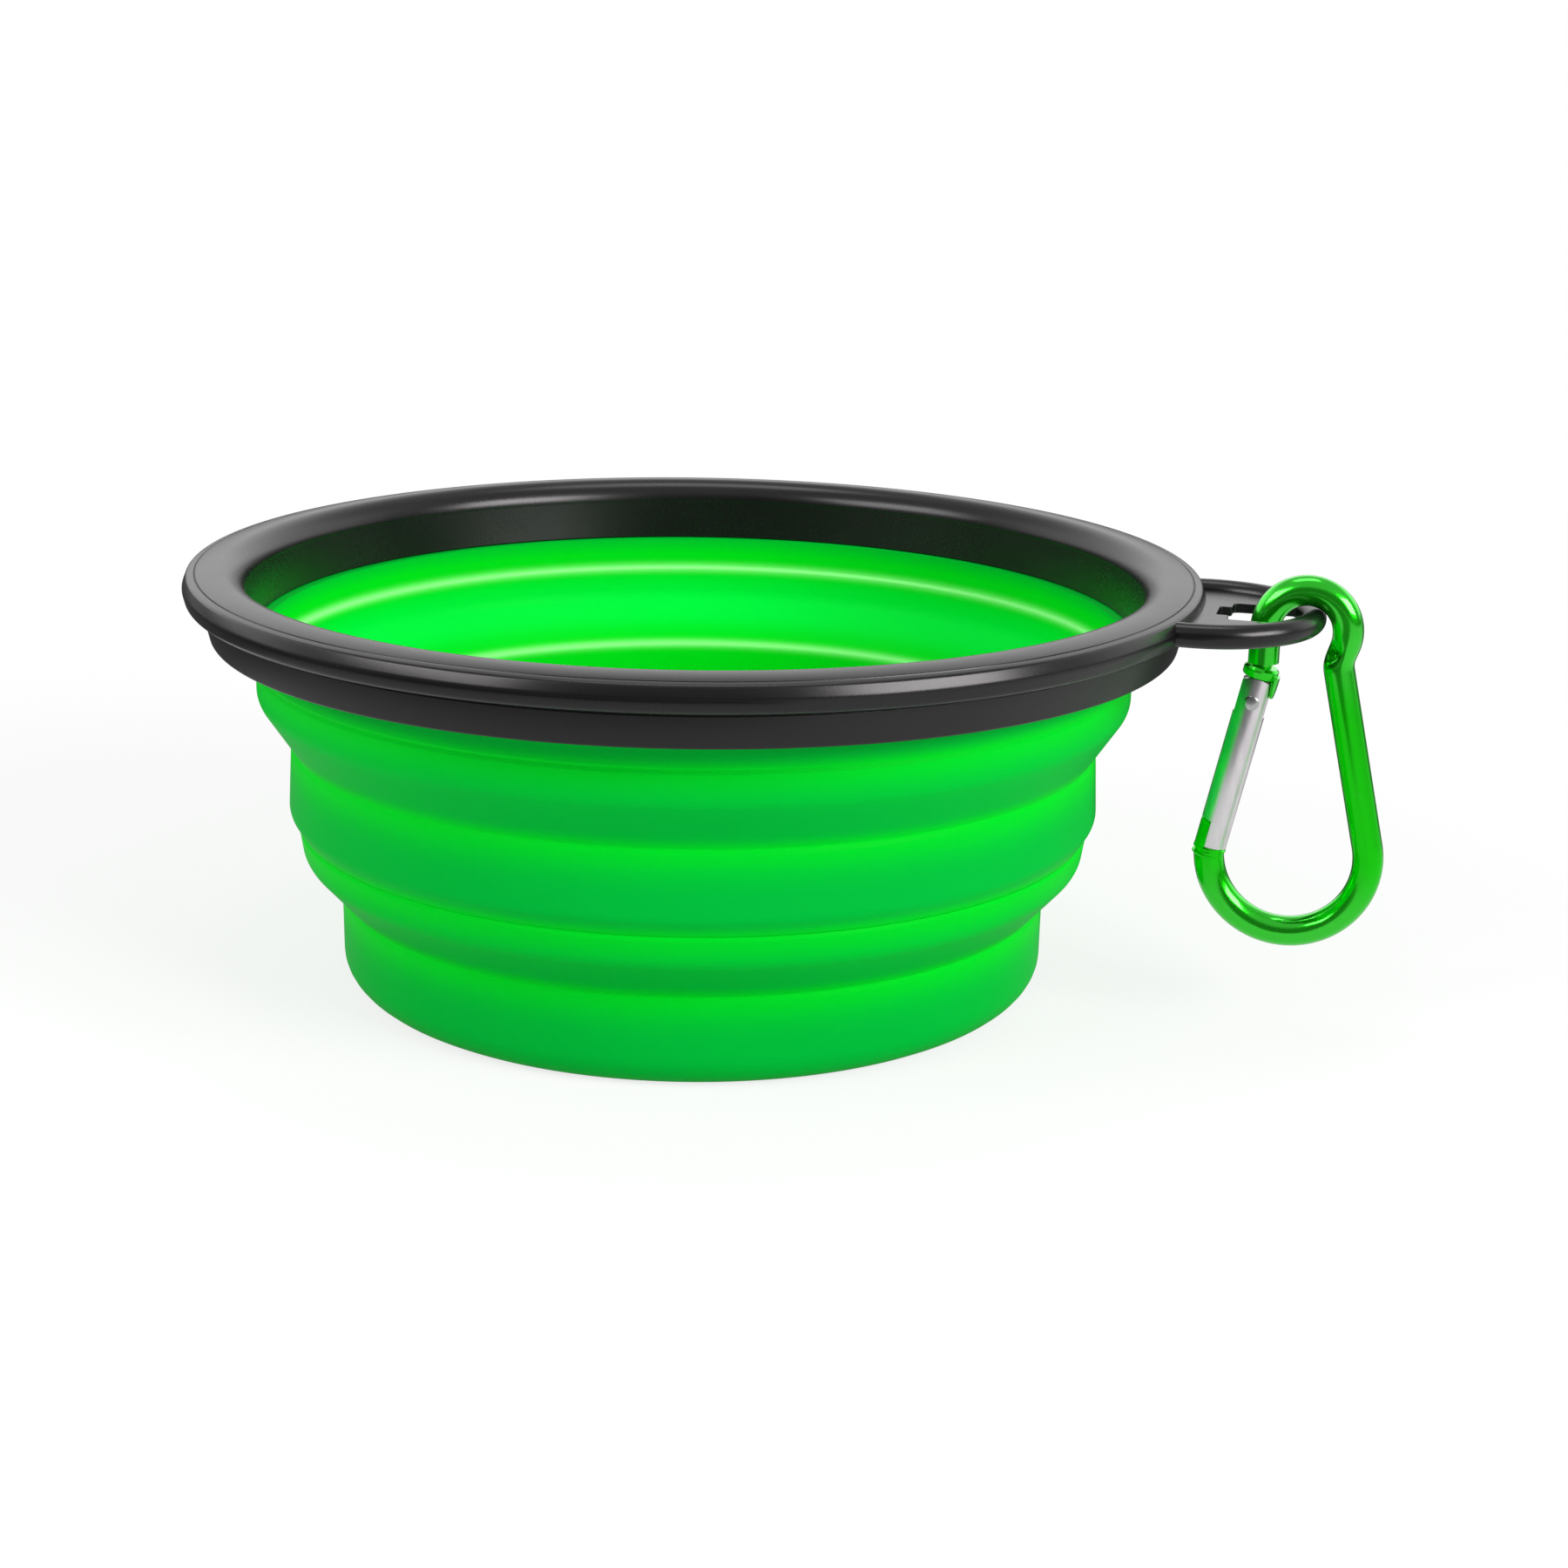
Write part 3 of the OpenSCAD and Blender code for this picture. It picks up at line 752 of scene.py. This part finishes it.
def lower_wall(s):
    """Outline of the lower fold and the base cup, outer face first, with its marks."""
    t = s.wall_thickness
    foot = s.wall_base_radius - 0.1
    outer = divided(rounded([
        (s.step_radius - CREASE, s.wall_lower_crease, 0),
        (s.step_radius, s.wall_lower_crease - 0.45, 0.35),
        (s.lower_radius, s.wall_lower_shoulder, 3.0),
        (s.wall_base_radius - CREASE, s.wall_base_crease, 0.35),
        (s.wall_base_radius, s.wall_base_crease - 0.6, 0.5),
        (foot, 0, 4.0),
        (0, 0, 0),
    ]), FOLD_RING)
    inner = divided(rounded([
        (0, s.wall_floor, 0),
        (foot - t, s.wall_floor, 3.2),
        (s.wall_base_radius - t, s.wall_base_crease - 0.2, 0.9),
        (s.lower_radius - t, s.wall_lower_shoulder, 3.0),
        (s.step_radius - t, s.wall_lower_crease, 0),
    ]), FOLD_RING)
    creases = (s.wall_lower_crease, s.wall_base_crease)
    # The marks paint light: light below each crease, outside and in, light on all inner faces, and a highlight on
    # the inner ridge at the base crease.
    marks = {
        "glow": painted_crease_light(outer, creases, 0.0, 0.6, 3.2) + painted_crease_light(inner, creases, 0.55, 0.3, 3.4),
        "ledge": [0.0] * len(outer) + [0.4] * len(inner),
        "edge": [0.0] * len(outer) + near(inner, [(s.wall_base_radius - t, s.wall_base_crease)], 0.6),
    }
    return outer + inner, marks


def make_wall(s, material):
    """The wall's two skins, upper and lower, built in place."""
    outline, marks = upper_wall(s)
    upper = finish_mesh("wall_upper", spun(outline, **marks), material, None, 60)
    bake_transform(upper)
    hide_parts("wall_collar", "upper_fold", "middle_tier")
    outline, marks = lower_wall(s)
    lower = finish_mesh("wall_lower", spun(outline, **marks), material, None, 60)
    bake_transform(lower)
    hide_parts("lower_fold", "base_cup")


# The snap hook


def hook_path(s):
    """The bar's centre line, from the groove over the hinge, round the eye and the bend, to the nose."""
    turn = math.degrees(s.hook_neck_turn)
    down = np.array([-math.sin(s.hook_neck_turn), -math.cos(s.hook_neck_turn)])
    neck_top = s.eye + s.hook_eye * np.array([-down[1], down[0]])
    neck_low = neck_top + s.hook_neck * down
    kink = 2 * s.hook_bar
    kink_centre = neck_low + kink * np.array([-down[1], down[0]])
    run = kink_centre - s.bend_centre
    leg = math.degrees(math.atan2(run[1], run[0]) - math.acos((s.hook_bend + kink) / np.linalg.norm(run)))
    leg_out = np.array([math.cos(math.radians(leg)), math.sin(math.radians(leg))])
    path = joined(
        straight(s.side_top - np.array([0, s.head_top - 0.5]), s.side_top),
        arc(s.eye, s.hook_eye, 180, -turn),
        straight(neck_top, neck_low),
        arc(kink_centre, kink, 180 - turn, 180 + leg),
        straight(kink_centre - kink * leg_out, s.bend_centre + s.hook_bend * leg_out),
        arc(s.bend_centre, s.hook_bend, leg, -180),
    )
    return path, neck_low


def make_hook(s, material):
    """The bar with its dent, the heads at the gate's two ends, the hinge's tongue and the claw."""
    bm = bmesh.new()
    path, neck = hook_path(s)
    dent = Vector((neck[0] - 1.4, -1.2, neck[1] + 0.35))
    dent_depth, dent_reach = 0.9, 1.3

    def pinch(point):
        """Presses a dent into the inner front of the neck."""
        away = point - dent
        depth = dent_depth * math.exp(-((away.length / dent_reach) ** 2))
        return point + Vector((0.8 * depth, 0.6 * depth, 0))

    swept(bm, path, s.hook_bar, pinch)
    neck_over = s.hook_bar - 0.75
    head = s.hook_gate + 0.2
    turned(bm, [
        (0, 2.2), (neck_over, 2.2), (neck_over, HEAD_HIGH + 0.02), (head - 0.3, HEAD_HIGH), (head, 1.0),
        (head, 0.15), (head - 0.12, 0), (0, 0),
    ], s.side_matrix(s.head_low))
    prism_across(bm, tongue(s), TONGUE_HALF, s)
    claw(bm, s)
    nose(bm, s)
    piece = finish_mesh("hook_bar", bm, material, "hook", 40)
    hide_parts("hook_body")


def tongue(s):
    """The tongue's outline in the hook's plane: inward and distance from the eye."""
    r, root, low = TONGUE_RADIUS, s.head_low - 0.4, s.hook_pivot
    round_end = [(r * math.cos(a), low + r * math.sin(a)) for a in np.linspace(0, math.pi, 13)[1:-1]]
    return [(r, root), (r, low), *round_end, (-r, low), (-r, root)]


def prism_across(bm, outline, half, s):
    """Adds a flat solid that lies in the hook's plane, half to each side of it."""
    rings = []
    for y in (-half, half):
        ring = []
        for inward, distance in outline:
            x, z = s.on_side(distance, inward)
            ring.append(bm.verts.new((x * MM, y * MM, z * MM)))
        rings.append(ring)
    capped(bm, rings)


def claw(bm, s):
    """The curved claw beside the gate's top, thinning towards its tip."""
    inner, outer = s.hook_gate + 0.1, s.hook_gate + 0.5
    root, tip = s.head_low - 0.4, s.hook_pivot - 0.9
    rows = []
    for t in np.linspace(0, 1, 9):
        spread = math.radians(40 - 16 * t * t)
        outside = outer - 0.15 * t ** 3
        matrix = s.side_matrix(root + (tip - root) * t)
        section = [(outside, a) for a in np.linspace(-spread, spread, 9)]
        section += [(inner, a) for a in np.linspace(spread, -spread, 9)]
        rows.append([
            bm.verts.new(matrix @ Vector((r * MM * math.cos(a), r * MM * math.sin(a), 0))) for r, a in section
        ])
    capped(bm, rows)


def nose(bm, s):
    """The grooved head at the bar's lower end, and the lip that the gate closes against."""
    r = s.hook_gate + 0.05
    groove = r - 0.3
    turned(bm, [
        (0, HEAD_HIGH), (r - 0.2, HEAD_HIGH), (r, 1.1), (r, 0.85), (groove, 0.72), (groove, 0.42),
        (r, 0.3), (r, 0.1), (r - 0.1, 0), (0, 0),
    ], s.side_matrix(s.nose + HEAD_HIGH))
    cut = NOSE_LIP - s.hook_gate
    reach = math.acos(cut / s.hook_gate)
    section = [
        (s.hook_gate * math.cos(a), s.hook_gate * math.sin(a)) for a in np.linspace(reach, 2 * math.pi - reach, 25)
    ]
    matrix = s.side_matrix(s.nose)
    rings = []
    for z, scale in ((-0.3, 1.0), (2.9, 1.0), (3.25, 0.97), (3.4, 0.9)):
        rings.append([
            bm.verts.new(matrix @ (Vector((cut + (x - cut) * scale, y * scale, z)) * MM)) for x, y in section
        ])
    capped(bm, rings)


def solid(name, build):
    """A hidden helper object for cutting."""
    bm = bmesh.new()
    build(bm)
    bmesh.ops.recalc_face_normals(bm, faces=bm.faces)
    return placed(name, bm)


def carved(base, cutters):
    """The mesh of base after each cutter is taken from it, or met with it."""
    for cutter, operation in cutters:
        modifier = base.modifiers.new("carve", "BOOLEAN")
        modifier.operation = operation
        modifier.object = cutter
        modifier.solver = "EXACT"
    bevel = base.modifiers.new("edges", "BEVEL")
    bevel.width = 0.1 * MM
    bevel.segments = 2
    bevel.limit_method = "ANGLE"
    bevel.angle_limit = math.radians(40)
    bm = worked_out(base)
    for helper in [base, *(cutter for cutter, _ in cutters)]:
        bpy.data.objects.remove(helper)
    return bm


def block(x0, x1, s0, s1, half, s):
    """A builder of a block in the hook's plane, from its inward places and its distances from the eye."""
    return lambda bm: prism_across(bm, [(x0, s0), (x1, s0), (x1, s1), (x0, s1)], half, s)


def make_gate(s, material):
    """The gate: a rod with a domed, forked top, a bore for the spring and a relief beside the nose's lip."""
    r = s.hook_gate
    end = s.nose - 0.1
    dome_radius = HEAD_GAP - 0.1
    top = s.hook_pivot - dome_radius
    fork = s.hook_pivot + 1.8
    fork_half = TONGUE_HALF + 0.1
    tall = end - top + 0.4
    rod = [(0, 0), (r, 0), (r, tall), (0, tall)]
    body = solid("gate_body", lambda bm: turned(bm, rod, s.side_matrix(end), 2 * BAR_STEPS))
    dome = [
        (dome_radius * math.sin(a), s.hook_pivot - dome_radius * math.cos(a)) for a in np.linspace(-1.2, 1.2, 41)
    ]
    dome += [(2.9, end + 1), (-2.9, end + 1)]
    bore = [(0, 0), (TONGUE_RADIUS, 0), (TONGUE_RADIUS, 9), (0, 9)]
    at_bore = s.side_matrix(fork + 8.5)
    wide = 4
    cutters = [
        (solid("gate_dome", lambda bm: prism_across(bm, dome, 3, s)), "INTERSECT"),
        (solid("gate_fork", block(-wide, wide, top - 1, fork, fork_half, s)), "DIFFERENCE"),
        (solid("gate_relief", block(-wide, NOSE_LIP + 0.1 - r, end - 3.4, end + 1, wide, s)), "DIFFERENCE"),
        (solid("gate_bore", lambda bm: turned(bm, bore, at_bore)), "DIFFERENCE"),
    ]
    piece = finish_mesh("gate", carved(body, cutters), material, "gate", 35)
    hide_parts("hook_gate")


def make_rivet(s, material):
    """The rivet's shank and its two domed heads."""
    bm = bmesh.new()
    x, z = s.on_side(s.hook_pivot)
    matrix = Matrix.Translation((x * MM, 0, z * MM)) @ Matrix.Rotation(math.pi / 2, 4, "X")
    face = s.hook_gate + GAP
    head, shank = 0.95, 0.55
    dome = [
        (head * math.cos(a), face + RIVET_DOME * math.sin(a)) for a in np.linspace(0, math.pi / 2, 7)[:-1]
    ]
    profile = [(0, -face - RIVET_DOME)] + [(radius, -height) for radius, height in reversed(dome)]
    profile += [(shank, -face), (shank, face), *dome, (0, face + RIVET_DOME)]
    turned(bm, profile, matrix, 40)
    piece = finish_mesh("rivet", bm, material, "hook", 40)
    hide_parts("gate_rivet")


# The stage


def make_camera():
    """The camera stands in front of the bowl and a little to the tab's side of it, looking down."""
    turn, distance, height = math.radians(CAMERA_TURN), 358.8 * MM, 127.75 * MM
    tilt, yaw, pitch, roll = (math.radians(a) for a in (11.614, 1.805, -4.384, 1.154))
    forward = Vector((0, math.cos(tilt), -math.sin(tilt)))
    up = Vector((0, math.sin(tilt), math.cos(tilt)))
    forward = (forward + math.tan(yaw) * Vector((1, 0, 0)) + math.tan(pitch) * up).normalized()
    right = forward.cross(Vector((0, 0, 1))).normalized()
    up = right.cross(forward)
    right, up = math.cos(roll) * right + math.sin(roll) * up, math.cos(roll) * up - math.sin(roll) * right
    facing = Matrix((right, up, -forward)).transposed().to_4x4()
    camera = bpy.data.objects.new("camera", bpy.data.cameras.new("camera"))
    camera.data.lens = 65.21
    camera.data.sensor_width = 36
    camera.data.clip_start = 10 * MM
    bpy.context.scene.collection.objects.link(camera)
    camera.matrix_world = (
        Matrix.Rotation(turn, 4, "Z") @ Matrix.Translation((0, -distance, height)) @ facing
    )
    bpy.context.scene.camera = camera


def make_floor(base):
    """A wide pale floor that shows white to the camera and in reflections, and keeps a soft shadow."""
    f = new_finish("pale_floor")
    camera, glossy, through = (
        f.node("ShaderNodeLightPath", out=f"Is {kind} Ray") for kind in ("Camera", "Glossy", "Transmission")
    )
    speckle = f.noise(scale=3, detail=2)
    plain = f.node(
        "ShaderNodeBsdfDiffuse", None, Color=f.mix(speckle, base, tuple(0.98 * c for c in base)), Roughness=0.5
    )
    white = f.node("ShaderNodeEmission", None, Color=1.0 - 0.35 * glossy)
    reach = f.node("ShaderNodeVectorMath", {"operation": "LENGTH"}, f.place(), out="Value")
    whiteness = (camera + glossy + through) * (0.78 + 0.22 * f.ramp(reach, 0.13, 0.4))
    f.node("ShaderNodeOutputMaterial", None, f.node("ShaderNodeMixShader", None, whiteness, plain, white))
    bm = bmesh.new()
    bmesh.ops.create_circle(bm, cap_ends=True, radius=FLOOR_RADIUS, segments=96)
    placed("floor", bm, f.owner)


def make_world():
    """A soft studio: plain white to the camera, bright behind the bowl, dimmer above and in front."""
    world = bpy.data.worlds.new("studio")
    bpy.context.scene.world = world
    f = Finish(world)
    direction = f.node("ShaderNodeTexCoord", out="Generated")
    x, y, height = (f.node("ShaderNodeSeparateXYZ", None, direction, out=axis) for axis in "XYZ")
    behind = f.ramp(y * 0.96 - x * 0.27, -0.15, 0.35)
    over_floor = f.ramp(height, 0.04, 0.15)
    above = f.ramp(height, 0.42, 0.75)
    level = 0.1 + 1.2 * behind * over_floor * (1 - above) + 0.4 * above
    seen = f.node("ShaderNodeLightPath", out="Is Camera Ray")
    f.node("ShaderNodeOutputWorld", None, f.node("ShaderNodeBackground", None, Color=level * (1 - seen) + seen))


def around(turn, height, distance):
    """A place round the bowl: turn from straight behind it, as the camera sees it, to the right."""
    turn, height = math.radians(turn - CAMERA_TURN), math.radians(height)
    return Vector((
        distance * math.cos(height) * math.sin(turn),
        distance * math.cos(height) * math.cos(turn),
        distance * math.sin(height),
    ))


def soft_lamp(name, place, size, power):
    """A soft box that faces the middle of the bowl; place is seen from there, size in metres, power in watts."""
    lamp = bpy.data.lights.new(name, "AREA")
    lamp.shape = "RECTANGLE"
    lamp.size, lamp.size_y = size
    lamp.energy = power
    holder = bpy.data.objects.new(name, lamp)
    bpy.context.scene.collection.objects.link(holder)
    aim = Vector((0.01, 0, 0.035))
    holder.location = aim + place
    holder.rotation_mode = "QUATERNION"
    holder.rotation_quaternion = (-place).to_track_quat("-Z", "Y")


def make_lamps():
    for name, place, size, power in (
        ("lamp_left", around(-118, 32, 1.1), (0.7, 0.42), 5.0),
        ("lamp_right", around(128, 26, 1.1), (0.66, 0.44), 9.4),
        ("lamp_above", around(0, 80, 0.9), (0.5, 0.3), 1.2),
    ):
        soft_lamp(name, place, size, power)


def make_dark_sheet():
    """A dark sheet on the floor round the bowl, seen only in reflections; it leaves the hook's side open.

    Behind the hook it comes nearer to the bowl.
    """
    f = new_finish("dark_sheet")
    f.surface(Base_Color=(0.09, 0.09, 0.09), Roughness=0.9, Specular_IOR_Level=0.0)
    bm = bmesh.new()
    outside, clear, close, close_from = 1.4, 0.13, 0.052, 365
    turns = range(165, 440, 5)
    for turn, after in zip(turns, turns[1:]):
        inside = close if turn >= close_from else clear
        bm.faces.new([
            bm.verts.new((*around(angle, 0, reach)[:2], 1 * MM))
            for angle, reach in ((turn, inside), (after, inside), (after, outside), (turn, outside))
        ])
    sheet = placed("dark_sheet", bm, f.owner)
    sheet.visible_camera = sheet.visible_diffuse = sheet.visible_shadow = sheet.visible_transmission = False


# Operators


def plastic(colours):
    """The rim's plastic, made once."""
    name = "moulded_black_plastic"
    return bpy.data.materials.get(name) or moulded_plastic(name, tuple(colours.rim), 0.2)


def steel(colours):
    """The small parts' steel, made once."""
    name = "plain_steel"
    return bpy.data.materials.get(name) or bare_metal(name, tuple(colours.steel), 0.25)


class BOWL_OT_stage(bpy.types.Operator):
    """Add the camera, the floor, the lamps and the world"""

    bl_idname = "bowl.stage"
    bl_label = "Stage"
    bl_options = {"REGISTER", "UNDO"}

    def execute(self, context):
        make_camera()
        make_floor(tuple(context.scene.bowl_colours.floor))
        make_world()
        make_lamps()
        make_dark_sheet()
        context.scene.view_settings.view_transform = "Standard"
        return {"FINISHED"}


class BOWL_OT_rim(bpy.types.Operator):
    """Add the rim with its tab"""

    bl_idname = "bowl.rim"
    bl_label = "Rim and tab"
    bl_options = {"REGISTER", "UNDO"}

    def execute(self, context):
        sizes = Layout(context.scene)
        material = plastic(context.scene.bowl_colours)
        make_rim(sizes, material)
        make_tab_edge(sizes, material)
        make_tab_plate(sizes, material)
        return {"FINISHED"}


class BOWL_OT_clamp(bpy.types.Operator):
    """Add the clamp ring under the rim"""

    bl_idname = "bowl.clamp"
    bl_label = "Clamp ring"
    bl_options = {"REGISTER", "UNDO"}

    def execute(self, context):
        satin = moulded_plastic("satin_black_plastic", tuple(context.scene.bowl_colours.rim), 0.3)
        make_clamp(Layout(context.scene), satin)
        return {"FINISHED"}


class BOWL_OT_wall(bpy.types.Operator):
    """Add the folding wall"""

    bl_idname = "bowl.wall"
    bl_label = "Folding wall"
    bl_options = {"REGISTER", "UNDO"}

    def execute(self, context):
        make_wall(Layout(context.scene), green_silicone(context.scene.bowl_colours))
        return {"FINISHED"}


class BOWL_OT_hook(bpy.types.Operator):
    """Add the snap hook's bar"""

    bl_idname = "bowl.hook"
    bl_label = "Hook"
    bl_options = {"REGISTER", "UNDO"}

    def execute(self, context):
        make_hook(Layout(context.scene), anodised(tuple(context.scene.bowl_colours.hook)))
        return {"FINISHED"}


class BOWL_OT_gate(bpy.types.Operator):
    """Add the snap hook's gate"""

    bl_idname = "bowl.gate"
    bl_label = "Gate"
    bl_options = {"REGISTER", "UNDO"}

    def execute(self, context):
        aluminium = bare_metal("bare_aluminium", tuple(context.scene.bowl_colours.gate), 0.3)
        make_gate(Layout(context.scene), aluminium)
        return {"FINISHED"}


class BOWL_OT_rivet(bpy.types.Operator):
    """Add the gate's rivet"""

    bl_idname = "bowl.rivet"
    bl_label = "Rivet"
    bl_options = {"REGISTER", "UNDO"}

    def execute(self, context):
        make_rivet(Layout(context.scene), steel(context.scene.bowl_colours))
        return {"FINISHED"}


class BOWL_OT_spring(bpy.types.Operator):
    """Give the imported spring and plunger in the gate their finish"""

    bl_idname = "bowl.spring"
    bl_label = "Spring and plunger"
    bl_options = {"REGISTER", "UNDO"}

    def execute(self, context):
        for node in ("gate_spring", "gate_plunger"):
            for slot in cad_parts[node].material_slots:
                slot.material = steel(context.scene.bowl_colours)
        return {"FINISHED"}


class BOWL_PT_panel(bpy.types.Panel):
    """Sizes, colours and pieces of the bowl"""

    bl_idname = "BOWL_PT_panel"
    bl_label = "Collapsible bowl"
    bl_space_type = "VIEW_3D"
    bl_region_type = "UI"
    bl_category = "Bowl"

    def draw(self, context):
        column = self.layout.column()
        for group in (
            context.scene.bowl_wall, context.scene.bowl_rim, context.scene.bowl_hook, context.scene.bowl_colours
        ):
            for key in group.__annotations__:
                column.prop(group, key)
        for operator in OPERATORS:
            column.operator(operator.bl_idname)


GROUPS = {"bowl_wall": WallSizes, "bowl_rim": RimSizes, "bowl_hook": HookSizes, "bowl_colours": Colours}
OPERATORS = (
    BOWL_OT_stage, BOWL_OT_rim, BOWL_OT_clamp, BOWL_OT_wall, BOWL_OT_hook, BOWL_OT_gate, BOWL_OT_rivet,
    BOWL_OT_spring
)


def register():
    for name, group in GROUPS.items():
        bpy.utils.register_class(group)
        setattr(bpy.types.Scene, name, PointerProperty(type=group))
    for operator in OPERATORS:
        bpy.utils.register_class(operator)
    bpy.utils.register_class(BOWL_PT_panel)


def unregister():
    bpy.utils.unregister_class(BOWL_PT_panel)
    for operator in reversed(OPERATORS):
        bpy.utils.unregister_class(operator)
    for name, group in GROUPS.items():
        delattr(bpy.types.Scene, name)
        bpy.utils.unregister_class(group)


def main():
    register()
    for operator in OPERATORS:
        category, name = operator.bl_idname.split(".")
        getattr(getattr(bpy.ops, category), name)()
    bpy.context.view_layer.update()


if __name__ == "__main__":
    main()
